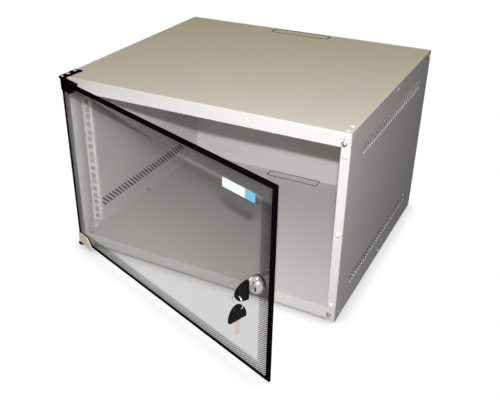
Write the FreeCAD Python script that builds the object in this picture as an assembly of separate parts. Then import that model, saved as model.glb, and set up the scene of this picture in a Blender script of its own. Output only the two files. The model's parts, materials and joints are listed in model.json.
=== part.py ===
import FreeCAD, Part
import math
import os

from FreeCAD import Placement, Rotation, Vector

# Wall mount network cabinet, six rack units high, with a frameless glass door that stands ajar.
# Frame: origin at the middle of the rear (wall) face, +X to the viewer's right, +Y to the wall, +Z up.

# Overall body
WIDTH = 540.0
DEPTH = 466.0
HEIGHT = 348.0
SHEET = 1.2                      # steel sheet of the body
BEND = 1.0                       # inner radius of every fold in the body sheet
BEND_OUT = BEND + SHEET
SKID = 4.5                       # how far the side panels stand below the bottom panel

RIGHT = WIDTH / 2
TOP = HEIGHT / 2
BOTTOM = -HEIGHT / 2
FRONT = -DEPTH
BACK_PANEL_FRONT = -SHEET        # the back panel is the rearmost sheet
TRAY_BOTTOM = BOTTOM + SKID
TRAY_HALF = RIGHT - SHEET        # the trays fit between the side panels
TRAY_MID = (TOP + TRAY_BOTTOM) / 2
FIT_GAP = 0.2                    # clearance round a sheet that passes another sheet

# Trays (top and bottom panel)
TRAY_FLANGE = 24.0
FOLD_RELIEF = 1.6                # notch beyond a fold, along the edge
KNOCKOUT_LENGTH = 126.0
KNOCKOUT_WIDTH = 25.5
KNOCKOUT_FROM_REAR = 3.4
KNOCKOUT_CUT = 1.3
KNOCKOUT_CORNER = 5.0
KNOCKOUT_TAB = 3.0
RAIL_HOLE_FIRST = 28.0           # first rail hole behind the front face
RAIL_HOLE_PITCH = 21.3
RAIL_HOLE_COUNT = int((DEPTH - 2 * RAIL_HOLE_FIRST) / RAIL_HOLE_PITCH) + 1
RAIL_HOLE_D = 4.6
RAIL_HOLE_DROP = 15.0            # from the tray's outer face

# Side panels
POST_WIDTH = 16.0
POST_RETURN = 12.0
POST_FRONT = FRONT + SHEET       # the trays' front flanges lie over the posts
POST_INNER = RIGHT - POST_WIDTH
POST_END_STEP = 2.0              # the post is this much narrower behind the tray flanges
REAR_FLANGE = 16.0
VENT_WIDTH = 4.0
VENT_PITCH = 10.7
VENT_ROW_HEIGHT = 23.0
VENT_ROW_START = 66.0            # from the front face
VENT_ROW_END = DEPTH - 64.0
VENT_SHORTEST = 0.6               # first and last slots, as a share of half a full one
VENT_LOW_FROM_BOTTOM = 40.0
VENT_HIGH_FROM_TOP = 38.0

# Wall holes
WALL_BOLT_X = 400.0
WALL_BOLT_Z = 120.0
WALL_BOLT_D = 8.5

# Rack rails, 19 inch pattern
RACK_HOLE_X = 232.55
RACK_UNIT = 44.45
RACK_STEPS = (15.875, 15.875, 12.7)
RAIL_ENDS_ROOM = 78.0            # height of the body that the rack units leave over
RACK_UNITS = int((HEIGHT - RAIL_ENDS_ROOM) / RACK_UNIT)
RACK_HOLE = 9.5
RACK_RISE = 12.75                # middle of the holes above the middle of the body
RAIL_SHEET = 1.5
RAIL_INNER_X = 222.8
RAIL_OUTER_X = 244.0
RAIL_LIP = 7.0
RAIL_LEG = 24.0
RAIL_END_MARGIN = 10.0
RAIL_FACE_AHEAD = 10.0           # rail face ahead of its bracket screw
LEFT_RAIL_HOLE = 0               # which hole of the tray's row each rail is bolted to
RIGHT_RAIL_HOLE = 4
BRACKET_WIDTH = 17.0
BRACKET_TAB = 14.5
BRACKET_UPRIGHT = 46.0
BRACKET_LEG_SCREWS = (8.0, 22.0)  # from the end of the upright
LOWER_SHELF = TRAY_BOTTOM + TRAY_FLANGE + RAIL_SHEET

# Screws
SCREW_D = 4.0
SCREW_HEAD_D = 8.0
SCREW_HEAD_H = 2.2
SCREW_CLEARANCE = 0.15
SCREW_GRIP = 5.0                 # shank beyond the sheets it joins
SCREW_END_GAP = 0.1
RAIL_SCREW_GRIP = 1.0
SCREW_HOLE_D = SCREW_D + 2 * SCREW_CLEARANCE
RECESS_LENGTH = 4.4
RECESS_WIDTH = 0.9
RECESS_DEPTH = 1.0
WASHER_D = 9.5
WASHER_H = 0.5
SIDE_SCREW_INSET = 20.0
SIDE_SCREW_INSET_REAR = 12.0
SIDE_SCREWS_Y = (SIDE_SCREW_INSET, DEPTH / 2 + 4.0, DEPTH - SIDE_SCREW_INSET_REAR)
SIDE_SCREW_DROP_TOP = 8.5
SIDE_SCREW_DROP_BOTTOM = 5.5
CORNER_SCREW_X = RIGHT - 10.5
CORNER_SCREW_DROP_TOP = 18.5
CORNER_SCREW_DROP_BOTTOM = 9.5
SPARE_HOLE_D = 2.6
SPARE_HOLE_X = RIGHT - 11.5
SPARE_HOLE_DROP = 11.0
TOP_FRONT_HOLES = (
    (CORNER_SCREW_X, CORNER_SCREW_DROP_TOP, SCREW_HOLE_D),
    (SPARE_HOLE_X, SPARE_HOLE_DROP, SPARE_HOLE_D),
)
BOTTOM_FRONT_HOLES = ((CORNER_SCREW_X, CORNER_SCREW_DROP_BOTTOM, SCREW_HOLE_D),)

# Hinges
HINGE_X = 8.0 - RIGHT
HINGE_AHEAD = 5.5                # pivot ahead of the front face
HINGE_Y = FRONT - HINGE_AHEAD
HINGE_PLATE = 2.0
HINGE_PLATE_REACH = 38.0
HINGE_PLATE_INNER_X = RIGHT - 19.0
HINGE_PLATE_NOSE = 6.5
HINGE_PLATE_CORNER = 2.0
HINGE_SCREW_X = RIGHT - 8.5
HINGE_SCREWS_Y = (9.0, 28.0)
PIN_D = 5.0
PIN_CLEARANCE = 0.05
PIN_PROUD = 0.3
BUSH_D = 8.0
BUSH_FLANGE_D = 10.0
TOP_BUSH_FLANGE = 1.2
TOP_BUSH_GAP = 0.3
BOTTOM_BUSH_FLANGE = 3.3

# Door
DOOR_AJAR = 20.0                 # degrees from closed, as it stands at rest
GLASS = 4.0
GLASS_LEFT = -2.5                # along the door from the pivot
GLASS_RIGHT = RIGHT - HINGE_X     # flush with the right side when closed
PAD = 0.8
CLAMP_THICK = 9.0
CLAMP_HEIGHT = 20.5
CLAMP_WEB = 3.5
CLAMP_LONG = 44.0
CLAMP_SHORT = 29.0
CLAMP_ROUND = CLAMP_THICK / 2
CLAMP_CORNER = 3.0
CLAMP_NOSE_FLAT = 0.05
PAD_INSET = 1.0
GLASS_END_GAP = 0.4              # between the glass and the end of the shoe
SET_SCREW_D = 4.0
SET_SCREWS_ALONG = (10.0, 24.0)
SET_SOCKET = 2.0
SET_SCREW_DROP = 13.0
GLASS_CORNER = 2.0

TOP_CLAMP_TOP = TOP - TOP_BUSH_FLANGE - TOP_BUSH_GAP
BOTTOM_CLAMP_BOTTOM = TRAY_BOTTOM + BOTTOM_BUSH_FLANGE
GLASS_TOP = TOP_CLAMP_TOP - CLAMP_WEB
GLASS_BOTTOM = BOTTOM_CLAMP_BOTTOM + CLAMP_WEB
GLASS_FACE = HINGE_Y - GLASS / 2
GLASS_REAR = HINGE_Y + GLASS / 2

# Lock, keys
LOCK_INSET = 28.0                # from the glass edge
LOCK_ALONG = GLASS_RIGHT - LOCK_INSET
LOCK_X = HINGE_X + LOCK_ALONG
LOCK_Z = (GLASS_TOP + GLASS_BOTTOM) / 2
LOCK_HEAD_D = 28.0
LOCK_HEAD_H = 12.0
LOCK_HEAD_FRONT_D = 17.0
LOCK_BARREL_D = 17.0
LOCK_HOLE_D = 17.6
PLUG_D = 11.0
PLUG_CLEARANCE = 0.05
PLUG_PROUD = 0.4
LOCK_NUT_AF = 23.0
LOCK_NUT = 3.0
PLUG_COLLAR_D = 13.0
PLUG_COLLAR = 1.5
LOCK_HEAD_RIM = 2.5
GASKET = 0.6
GASKET_D = 26.0
CAM_BEHIND_POST = 0.8            # cam clear behind the post's return
CAM_GAP = 0.3
CAM_SCREW_SHANK = 7.0
CAM_FRONT = POST_FRONT + POST_RETURN + CAM_BEHIND_POST
CAM_THICK = 2.0
CAM_WIDTH = 14.0
CAM_REACH = 24.0
CAM_SQUARE = 7.0
CAM_SQUARE_GAP = 0.1
KEY_BLADE = 2.0
KEY_BLADE_HEIGHT = 8.0
KEY_SLOT_GAP = 0.15
KEY_BLADE_LENGTH = 28.0
KEY_HEAD_LENGTH = 24.0
KEY_HEAD_WIDTH = 32.0
KEY_HEAD_THICK = 6.0
KEY_HEAD_EDGE = 1.5
KEY_HEAD_STANDOFF = 20.0         # head's flat end ahead of the glass
KEY_ROOT = 8.0                   # blade inside the head
KEY_TIP = 2.5                    # chamfer at the point
KEY_CUTS = 5
KEY_CUT_PITCH = 3.6
KEY_CUT_DEPTH = 1.6
KEY_HOLE_D = 4.0
KEY_HOLE_INSET = 4.5
RING_D = 22.0
RING_WIRE = 1.8

# Bumpers and plugs
BUMPER_D = 9.0
BUMPER_BASE = 1.0
BUMPER_GAP = 0.3
BUMPER_X = RIGHT - 8.0
BUMPER_LOW = SKID + TRAY_FLANGE + 5.5
BUMPERS_Z = (BUMPER_LOW, HEIGHT / 2 - 1.0, HEIGHT - 38.0)  # above the underside
PLUG_HEAD_D = 7.5
PLUG_HEAD_H = 1.0
PLUG_STEM = 3.5


def box(x0, x1, y0, y1, z0, z1):
    """Block between two corners."""
    return Part.makeBox(x1 - x0, y1 - y0, z1 - z0, Vector(x0, y0, z0))


def rod(start, direction, diameter, length):
    """Round bar from a point along a direction."""
    return Part.makeCylinder(diameter / 2, length, Vector(*start), Vector(*direction))


def fused(shapes):
    """One solid from touching ones, with the seams between coplanar faces removed."""
    body = shapes[0].fuse(shapes[1:]) if len(shapes) > 1 else shapes[0]
    return body.removeSplitter()


def rounded_face(points, radii):
    """Flat face in XY from a closed polygon; a radius above zero rounds its corner."""
    corners = [Vector(u, v, 0) for u, v in points]
    edges = []
    last = None
    first = None
    for i, corner in enumerate(corners):
        before = (corners[i - 1] - corner).normalize()
        after = (corners[(i + 1) % len(corners)] - corner).normalize()
        start, end = corner, corner
        if radii[i] > 0:
            half = before.getAngle(after) / 2
            inward = (before + after).normalize()
            start = corner + before * (radii[i] / math.tan(half))
            end = corner + after * (radii[i] / math.tan(half))
            middle = corner + inward * (radii[i] / math.sin(half) - radii[i])
        if last is not None:
            edges.append(Part.LineSegment(last, start).toShape())
        if radii[i] > 0:
            edges.append(Part.Arc(start, middle, end).toShape())
        first = first or start
        last = end
    edges.append(Part.LineSegment(last, first).toShape())
    return Part.Face(Part.Wire(edges))


def sheet_face(path, thickness, bend):
    """Section of a folded sheet that lies to the left of its outer line, with rounded folds."""
    points = [Vector(u, v, 0) for u, v in path]
    steps = [(b - a).normalize() for a, b in zip(points, points[1:])]
    normals = [Vector(-s.y, s.x, 0) for s in steps]
    inner = [points[0] + normals[0] * thickness]
    outer_radii = [0.0]
    inner_radii = [0.0]
    for i in range(1, len(points) - 1):
        n1, n2 = normals[i - 1], normals[i]
        inner.append(points[i] + (n1 + n2) * (thickness / (1 + n1.dot(n2))))
        turns_left = steps[i - 1].cross(steps[i]).z > 0
        outer_radii.append(bend + thickness if turns_left else bend)
        inner_radii.append(bend if turns_left else bend + thickness)
    inner.append(points[-1] + normals[-1] * thickness)
    outer_radii.append(0.0)
    inner_radii.append(0.0)
    outline = points + inner[::-1]
    return rounded_face([(p.x, p.y) for p in outline], outer_radii + inner_radii[::-1])


def along_z(face, low, high):
    """Face drawn in X and Y, made solid between two heights."""
    return face.extrude(Vector(0, 0, high - low)).translated(Vector(0, 0, low))


def along_x(face, low, high):
    """Face drawn in Y and Z, made solid between two places on X."""
    turn = Rotation(Vector(0, 1, 0), Vector(0, 0, 1), Vector(1, 0, 0), "ZXY")
    body = face.extrude(Vector(0, 0, high - low))
    body.Placement = Placement(Vector(low, 0, 0), turn)
    return body


def along_y(face, low, high):
    """Face drawn in X and Z, made solid between two places on Y."""
    turn = Rotation(Vector(1, 0, 0), Vector(0, 0, 1), Vector(0, -1, 0), "ZXY")
    body = face.extrude(Vector(0, 0, high - low))
    body.Placement = Placement(Vector(0, high, 0), turn)
    return body


def turned(start, steps, origin, direction):
    """Solid of revolution from (radius, height) points; a pair of points is an arc's middle and end."""
    first = Vector(start[0], 0, start[1])
    here = first
    edges = []
    for step in steps:
        points = [Vector(radius, 0, height) for radius, height in step]
        if len(points) == 2:
            edges.append(Part.Arc(here, *points).toShape())
        else:
            edges.append(Part.LineSegment(here, points[0]).toShape())
        here = points[-1]
    edges.append(Part.LineSegment(here, first).toShape())
    face = Part.Face(Part.Wire(edges))
    return oriented(face.revolve(Vector(0, 0, 0), Vector(0, 0, 1), 360), origin, direction)


def oriented(body, origin, direction):
    """Shape built along +Z from the origin, moved to a place and turned to a direction."""
    turn = Rotation(Vector(0, 0, 1), Vector(*direction))
    body.Placement = Placement(Vector(*origin), turn).multiply(body.Placement)
    return body


def mirrored_x(shape):
    return shape.mirror(Vector(0, 0, 0), Vector(1, 0, 0))


def rack_holes_z():
    """Heights of the square holes: three to a rack unit, on the 19 inch spacing."""
    z = TRAY_MID + RACK_RISE - (RACK_UNITS * RACK_UNIT - RACK_STEPS[-1]) / 2
    heights = []
    for i in range(RACK_UNITS * len(RACK_STEPS)):
        heights.append(z)
        z += RACK_STEPS[i % len(RACK_STEPS)]
    return heights


def rail_hole_y(number):
    """Place of one hole in the row along a tray's side flange."""
    return FRONT + RAIL_HOLE_FIRST + number * RAIL_HOLE_PITCH


def pan_screw(seat, direction, shank, washer=0.0):
    """Cross-recess pan head screw; seat is the face under it, direction points out of the head."""
    top = washer + SCREW_HEAD_H
    head = SCREW_HEAD_D / 2
    rim = SCREW_D / 2
    steps = [[(rim, -shank)], [(rim, 0)]]
    if washer > 0:
        steps += [[(WASHER_D / 2, 0)], [(WASHER_D / 2, washer)]]
    steps += [[(head, washer)], [(head, washer + SCREW_HEAD_H / 2)], [(head / 2, top)], [(0, top)]]
    body = turned((0, -shank), steps, (0, 0, 0), (0, 0, 1))
    half, slim = RECESS_LENGTH / 2, RECESS_WIDTH / 2
    cross = box(-half, half, -slim, slim, top - RECESS_DEPTH, top + 1)
    cross = cross.fuse(box(-slim, slim, -half, half, top - RECESS_DEPTH, top + 1))
    return oriented(body.cut(cross), seat, direction)


# Body panels

def knockout_cut(z_low, z_high):
    """Nearly closed line cut round the cable knock-out, which two tabs still hold."""
    rear = BACK_PANEL_FRONT - KNOCKOUT_FROM_REAR
    half = KNOCKOUT_LENGTH / 2

    def plate(inset):
        x = half - inset
        y0, y1 = rear - KNOCKOUT_WIDTH + inset, rear - inset
        outline = [(-x, y0), (x, y0), (x, y1), (-x, y1)]
        return along_z(rounded_face(outline, [KNOCKOUT_CORNER - inset] * 4), z_low, z_high)

    tab = box(-KNOCKOUT_TAB / 2, KNOCKOUT_TAB / 2, rear - KNOCKOUT_WIDTH - 1, rear + 1, z_low, z_high)
    return plate(0).cut(plate(KNOCKOUT_CUT)).cut(tab)


def tray(front_holes, side_screw_drop):
    """Folded tray with its flanges down, as the top panel lies."""
    low = TOP - TRAY_FLANGE
    rear = BACK_PANEL_FRONT
    rear_fold = rear - BEND_OUT
    side_start = POST_FRONT + BEND_OUT + FIT_GAP
    deck = [(rear, low), (rear, TOP), (FRONT, TOP), (FRONT, low)]
    sides = [(TRAY_HALF, low), (TRAY_HALF, TOP), (-TRAY_HALF, TOP), (-TRAY_HALF, low)]
    lip = [(side_start + BEND, TOP), (FRONT, TOP), (FRONT, low)]
    shapes = [
        along_x(sheet_face(deck, SHEET, BEND), -POST_INNER, POST_INNER),
        along_x(sheet_face(lip, SHEET, BEND), -TRAY_HALF, TRAY_HALF),
        along_y(sheet_face(sides, SHEET, BEND), side_start, rear_fold),
    ]
    cuts = [knockout_cut(TOP - SHEET - 1, TOP + 1)]
    for side in (-1, 1):
        x0, x1 = sorted((side * POST_INNER, side * TRAY_HALF))
        shapes.append(box(x0, x1, rear_fold, rear, TOP - SHEET, TOP))
        x0, x1 = sorted((side * (POST_INNER - FIT_GAP), side * (RIGHT + 1)))
        cuts.append(box(x0, x1, rear_fold - FIT_GAP, rear + 1, low - 1, TOP - SHEET))
        through_side = (side, 0, 0)
        inside = side * (TRAY_HALF - SHEET - 1)
        for number in range(RAIL_HOLE_COUNT):
            start = (inside, rail_hole_y(number), TOP - RAIL_HOLE_DROP)
            cuts.append(rod(start, through_side, RAIL_HOLE_D, SHEET + 2))
        for y in SIDE_SCREWS_Y:
            start = (inside, FRONT + y, TOP - side_screw_drop)
            cuts.append(rod(start, through_side, SCREW_HOLE_D, SHEET + 2))
        for y in HINGE_SCREWS_Y:
            start = (side * HINGE_SCREW_X, FRONT + y, TOP - SHEET - 1)
            cuts.append(rod(start, (0, 0, 1), SCREW_HOLE_D, SHEET + 2))
        for x, drop, diameter in front_holes:
            cuts.append(rod((side * x, FRONT - 1, TOP - drop), (0, 1, 0), diameter, SHEET + 2))
    return fused(shapes).cut(cuts)


def top_panel():
    return tray(TOP_FRONT_HOLES, SIDE_SCREW_DROP_TOP)


def bottom_panel():
    """The same tray turned over, slotted where the posts pass down to the skids."""
    body = tray(BOTTOM_FRONT_HOLES, SIDE_SCREW_DROP_BOTTOM)
    body = body.mirror(Vector(0, 0, TRAY_MID), Vector(0, 0, 1))
    slots = []
    for side in (-1, 1):
        x0, x1 = sorted((side * (POST_INNER + POST_END_STEP - FIT_GAP), side * (RIGHT + 1)))
        rear = POST_FRONT + BEND_OUT + FIT_GAP
        slots.append(box(x0, x1, POST_FRONT, rear, TRAY_BOTTOM - 1, TRAY_BOTTOM + BEND_OUT))
    return body.cut(slots)


def slot_face(half, radius):
    """Flat slot with three-sided ends, lying along X."""
    nose = half + radius * math.cos(math.radians(30))
    upper = [(nose, radius / 2), (half, radius), (-half, radius), (-nose, radius / 2)]
    lower = [(-x, -y) for x, y in upper]
    return rounded_face(upper + lower, [0.0] * 8)


def vent_slot(y, z_low, z_high):
    """One slot leaning forward at 45 degrees, shortened where it would leave the row."""
    radius = VENT_WIDTH / 2
    reach = (z_high - z_low) / 2 - radius
    first = max(y - reach, FRONT + VENT_ROW_START + radius)
    last = min(y + reach, FRONT + VENT_ROW_END - radius)
    middle = (first + last) / 2
    half = (last - first) / math.sqrt(2)
    slot = along_z(slot_face(half, radius), -SHEET - 1, SHEET + 1)
    slot.rotate(Vector(0, 0, 0), Vector(0, 0, 1), -45)
    turn = Rotation(Vector(0, 1, 0), Vector(0, 0, 1), Vector(1, 0, 0), "ZXY")
    place = Vector(RIGHT - SHEET / 2, middle, (z_low + z_high) / 2 - (middle - y))
    slot.Placement = Placement(place, turn).multiply(slot.Placement)
    return slot


def vent_slots():
    """Both rows of the right side panel."""
    reach = (VENT_ROW_HEIGHT - VENT_WIDTH) / 2
    start = FRONT + VENT_ROW_START - VENT_SHORTEST * reach
    end = FRONT + VENT_ROW_END + VENT_SHORTEST * reach
    slots = []
    for z_low in (BOTTOM + VENT_LOW_FROM_BOTTOM, TOP - VENT_HIGH_FROM_TOP - VENT_ROW_HEIGHT):
        for i in range(int((end - start) / VENT_PITCH) + 1):
            slots.append(vent_slot(start + i * VENT_PITCH, z_low, z_low + VENT_ROW_HEIGHT))
    return slots


def right_side_panel():
    """Skin, front post with its return, and rear flange, folded from one sheet."""
    rear = BACK_PANEL_FRONT
    path = [
        (POST_INNER, POST_FRONT + POST_RETURN),
        (POST_INNER, POST_FRONT),
        (RIGHT, POST_FRONT),
        (RIGHT, rear),
        (RIGHT - REAR_FLANGE, rear),
    ]
    body = along_z(sheet_face(path, SHEET, BEND), BOTTOM, TOP)
    inside = RIGHT - SHEET
    low = TRAY_BOTTOM + TRAY_FLANGE + FOLD_RELIEF
    high = TOP - TRAY_FLANGE - FOLD_RELIEF
    step = POST_INNER + POST_END_STEP
    deep = POST_FRONT + POST_RETURN + 1
    cuts = [
        box(POST_INNER - 1, inside, FRONT, deep, TOP - BEND_OUT, TOP + 1),
        box(POST_INNER - 1, step, FRONT, deep, BOTTOM - 1, low),
        box(POST_INNER - 1, step, FRONT, deep, high, TOP + 1),
        box(POST_INNER - 1, inside, rear - BEND_OUT, 1, BOTTOM - 1, TRAY_BOTTOM + BEND_OUT),
        box(POST_INNER - 1, inside, rear - BEND_OUT, 1, TOP - BEND_OUT, TOP + 1),
    ]
    for z in (TOP - SIDE_SCREW_DROP_TOP, TRAY_BOTTOM + SIDE_SCREW_DROP_BOTTOM):
        for y in SIDE_SCREWS_Y:
            cuts.append(rod((inside - 1, FRONT + y, z), (1, 0, 0), SCREW_HOLE_D, SHEET + 2))
    places = [(x, TOP - drop, diameter) for x, drop, diameter in TOP_FRONT_HOLES]
    places += [(x, TRAY_BOTTOM + drop, diameter) for x, drop, diameter in BOTTOM_FRONT_HOLES]
    for x, z, diameter in places:
        cuts.append(rod((x, POST_FRONT - 1, z), (0, 1, 0), diameter, SHEET + 2))
    return body.cut(cuts + vent_slots())


def left_side_panel():
    """Mirror of the right one, its post cut short above the bottom hinge plate."""
    cut = box(SHEET - RIGHT, -POST_INNER + 1, FRONT, POST_FRONT + BEND_OUT, BOTTOM - 1, TRAY_BOTTOM)
    return mirrored_x(right_side_panel()).cut(cut)


def back_panel():
    """Flat sheet across the rear, with four holes for the wall bolts."""
    body = box(-RIGHT, RIGHT, BACK_PANEL_FRONT, 0, TRAY_BOTTOM, TOP)
    holes = []
    for x in (-WALL_BOLT_X / 2, WALL_BOLT_X / 2):
        for z in (-WALL_BOLT_Z / 2, WALL_BOLT_Z / 2):
            holes.append(rod((x, BACK_PANEL_FRONT - 1, z), (0, 1, 0), WALL_BOLT_D, SHEET + 2))
    return body.cut(holes)


# Rack rails

def rail(hole_number):
    """Right hand rail: square-holed face, inner lip and outer leg, folded from one strip."""
    face = rail_hole_y(hole_number) - RAIL_FACE_AHEAD
    path = [
        (RAIL_INNER_X, face + RAIL_LIP),
        (RAIL_INNER_X, face),
        (RAIL_OUTER_X, face),
        (RAIL_OUTER_X, face + RAIL_LEG),
    ]
    heights = rack_holes_z()
    low, high = heights[0] - RAIL_END_MARGIN, heights[-1] + RAIL_END_MARGIN
    body = along_z(sheet_face(path, RAIL_SHEET, BEND), low, high)
    half = RACK_HOLE / 2
    cuts = []
    for z in heights:
        x0, x1 = RACK_HOLE_X - half, RACK_HOLE_X + half
        cuts.append(box(x0, x1, face - 1, face + RAIL_SHEET + 1, z - half, z + half))
    for z in bracket_leg_screws_z():
        start = (RAIL_OUTER_X - RAIL_SHEET - 1, rail_hole_y(hole_number), z)
        cuts.append(rod(start, (1, 0, 0), SCREW_D + 2 * SCREW_CLEARANCE, RAIL_SHEET + 2))
    return body.cut(cuts)


def bracket_leg_screws_z():
    """Heights of the screws that hold a rail to its two brackets."""
    lower = [LOWER_SHELF + BRACKET_UPRIGHT - drop for drop in BRACKET_LEG_SCREWS]
    return lower + [2 * TRAY_MID - z for z in lower]


def lower_bracket(hole_number):
    """Right hand Z bracket: tab on the tray's flange, shelf inward, upright on the rail's leg."""
    y = rail_hole_y(hole_number)
    tab_x = TRAY_HALF - SHEET
    upright_x = RAIL_OUTER_X + RAIL_SHEET
    path = [
        (tab_x, LOWER_SHELF - BRACKET_TAB),
        (tab_x, LOWER_SHELF),
        (upright_x, LOWER_SHELF),
        (upright_x, LOWER_SHELF + BRACKET_UPRIGHT),
    ]
    half = BRACKET_WIDTH / 2
    body = along_y(sheet_face(path, RAIL_SHEET, BEND), y - half, y + half)
    cuts = [rod((tab_x - RAIL_SHEET - 1, y, TRAY_BOTTOM + RAIL_HOLE_DROP), (1, 0, 0), SCREW_HOLE_D, 4)]
    for z in bracket_leg_screws_z()[:2]:
        cuts.append(rod((RAIL_OUTER_X - 1, y, z), (1, 0, 0), SCREW_HOLE_D, RAIL_SHEET + 2))
    return body.cut(cuts)


def upper(shape):
    """The same piece turned over, for the top panel."""
    return shape.mirror(Vector(0, 0, TRAY_MID), Vector(0, 0, 1))


def tray_screws():
    """Short screws through each bracket's tab into the tray's flange."""
    x = TRAY_HALF - SHEET - RAIL_SHEET
    shank = RAIL_SHEET + SHEET - SCREW_END_GAP
    low = TRAY_BOTTOM + RAIL_HOLE_DROP
    screws = []
    for z in (low, 2 * TRAY_MID - low):
        screws.append(pan_screw((x, rail_hole_y(RIGHT_RAIL_HOLE), z), (-1, 0, 0), shank))
        screws.append(pan_screw((-x, rail_hole_y(LEFT_RAIL_HOLE), z), (1, 0, 0), shank))
    return screws


def rail_screws():
    """Screws through each bracket's upright into the rail's leg."""
    x = RAIL_OUTER_X + RAIL_SHEET
    shank = 2 * RAIL_SHEET + RAIL_SCREW_GRIP
    screws = []
    for z in bracket_leg_screws_z():
        screws.append(pan_screw((x, rail_hole_y(RIGHT_RAIL_HOLE), z), (1, 0, 0), shank))
        screws.append(pan_screw((-x, rail_hole_y(LEFT_RAIL_HOLE), z), (-1, 0, 0), shank))
    return screws


# Fasteners and trim of the body

def side_screws(side):
    """Six screws along one side panel, through the skin into the trays."""
    screws = []
    for z in (TOP - SIDE_SCREW_DROP_TOP, TRAY_BOTTOM + SIDE_SCREW_DROP_BOTTOM):
        for y in SIDE_SCREWS_Y:
            seat = (side * RIGHT, FRONT + y, z)
            screws.append(pan_screw(seat, (side, 0, 0), 2 * SHEET + SCREW_GRIP))
    return screws


def corner_screws():
    """Two screws with washers in the right hand front corners."""
    heights = (TOP - CORNER_SCREW_DROP_TOP, TRAY_BOTTOM + CORNER_SCREW_DROP_BOTTOM)
    shank = 2 * SHEET + SCREW_GRIP
    return [pan_screw((CORNER_SCREW_X, FRONT, z), (0, -1, 0), shank, WASHER_H) for z in heights]


def bumpers():
    """Domed rubber buttons on the right post, which the closing glass meets."""
    height = POST_FRONT - GLASS_REAR - BUMPER_GAP
    radius = BUMPER_D / 2
    rise = height - BUMPER_BASE
    dome = (radius ** 2 + rise ** 2) / (2 * rise)
    half_angle = math.asin(radius / dome) / 2
    middle = (dome * math.sin(half_angle), height - dome * (1 - math.cos(half_angle)))
    steps = [[(radius, 0)], [(radius, BUMPER_BASE)], [middle, (0, height)]]
    return [turned((0, 0), steps, (BUMPER_X, POST_FRONT, BOTTOM + z), (0, -1, 0)) for z in BUMPERS_Z]


def hole_plugs():
    """Plugs in the unused hinge screw holes on the right."""
    head, stem = PLUG_HEAD_D / 2, SCREW_HOLE_D / 2 - SCREW_CLEARANCE
    steps = [[(stem, -PLUG_STEM)], [(stem, 0)], [(head, 0)], [(0.8 * head, PLUG_HEAD_H)], [(0, PLUG_HEAD_H)]]
    plugs = []
    for z, up in ((TOP, 1), (TRAY_BOTTOM, -1)):
        for y in HINGE_SCREWS_Y:
            plugs.append(turned((0, -PLUG_STEM), steps, (HINGE_SCREW_X, FRONT + y, z), (0, 0, up)))
    return plugs


# Hinges

def hinge_plate(z_low):
    """Flat plate along the left edge, its nose standing out in front to carry the pivot."""
    outer = -TRAY_HALF + FIT_GAP
    rear = FRONT + HINGE_PLATE_REACH
    nose = HINGE_PLATE_NOSE
    outline = [
        (outer, HINGE_Y - nose),
        (HINGE_X + nose, HINGE_Y - nose),
        (-HINGE_PLATE_INNER_X, rear),
        (outer, rear),
    ]
    radii = [nose, nose * 0.9, HINGE_PLATE_CORNER, HINGE_PLATE_CORNER]
    body = along_z(rounded_face(outline, radii), z_low, z_low + HINGE_PLATE)
    cuts = [rod((HINGE_X, HINGE_Y, z_low - 1), (0, 0, 1), BUSH_D, HINGE_PLATE + 2)]
    for y in HINGE_SCREWS_Y:
        start = (-HINGE_SCREW_X, FRONT + y, z_low - 1)
        cuts.append(rod(start, (0, 0, 1), SCREW_HOLE_D, HINGE_PLATE + 2))
    return body.cut(cuts)


def hinge_screws():
    """Screws through both plates into the trays."""
    shank = HINGE_PLATE + SHEET + SCREW_GRIP
    screws = []
    for y in HINGE_SCREWS_Y:
        screws.append(pan_screw((-HINGE_SCREW_X, FRONT + y, TOP + HINGE_PLATE), (0, 0, 1), shank))
        screws.append(pan_screw((-HINGE_SCREW_X, FRONT + y, TRAY_BOTTOM - HINGE_PLATE), (0, 0, -1), shank))
    return screws


def hinge_bush(plate_face, into_plate, flange):
    """Flanged bush pressed into a plate; the flange stands between the plate and the clamp."""
    bore = PIN_D / 2 + PIN_CLEARANCE
    steps = [
        [(BUSH_D / 2, HINGE_PLATE)],
        [(BUSH_D / 2, 0)],
        [(BUSH_FLANGE_D / 2, 0)],
        [(BUSH_FLANGE_D / 2, -flange)],
        [(bore, -flange)],
    ]
    place = (HINGE_X, HINGE_Y, plate_face)
    return turned((bore, HINGE_PLATE), steps, place, (0, 0, into_plate))


def hinge_pin(z_low, z_high):
    return rod((HINGE_X, HINGE_Y, z_low), (0, 0, 1), PIN_D, z_high - z_low)


# Door, drawn closed and then turned to where it stands

def ajar(shape):
    """Turn a piece of the closed door about the hinge."""
    turned_shape = shape.copy()
    turned_shape.rotate(Vector(HINGE_X, HINGE_Y, 0), Vector(0, 0, 1), -DOOR_AJAR)
    return turned_shape


def glass_pane():
    """Toughened glass with rounded corners and the hole for the lock."""
    outline = [
        (HINGE_X + GLASS_LEFT, GLASS_BOTTOM),
        (HINGE_X + GLASS_RIGHT, GLASS_BOTTOM),
        (HINGE_X + GLASS_RIGHT, GLASS_TOP),
        (HINGE_X + GLASS_LEFT, GLASS_TOP),
    ]
    body = along_y(rounded_face(outline, [GLASS_CORNER] * 4), GLASS_FACE, GLASS_REAR)
    return body.cut(rod((LOCK_X, GLASS_FACE - 1, LOCK_Z), (0, 1, 0), LOCK_HOLE_D, GLASS + 2))


def clamp_block(inset, left):
    """Outline of the top clamp in the door's plane, drawn in by an inset."""
    top = TOP_CLAMP_TOP - inset
    low = TOP_CLAMP_TOP - CLAMP_HEIGHT + inset
    outline = [
        (left, low),
        (HINGE_X + CLAMP_SHORT - inset, low),
        (HINGE_X + CLAMP_LONG - inset, top),
        (left, top),
    ]
    face = rounded_face(outline, [0, CLAMP_CORNER, 1, 0])
    return along_y(face, HINGE_Y - CLAMP_THICK, HINGE_Y + CLAMP_THICK)


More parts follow.
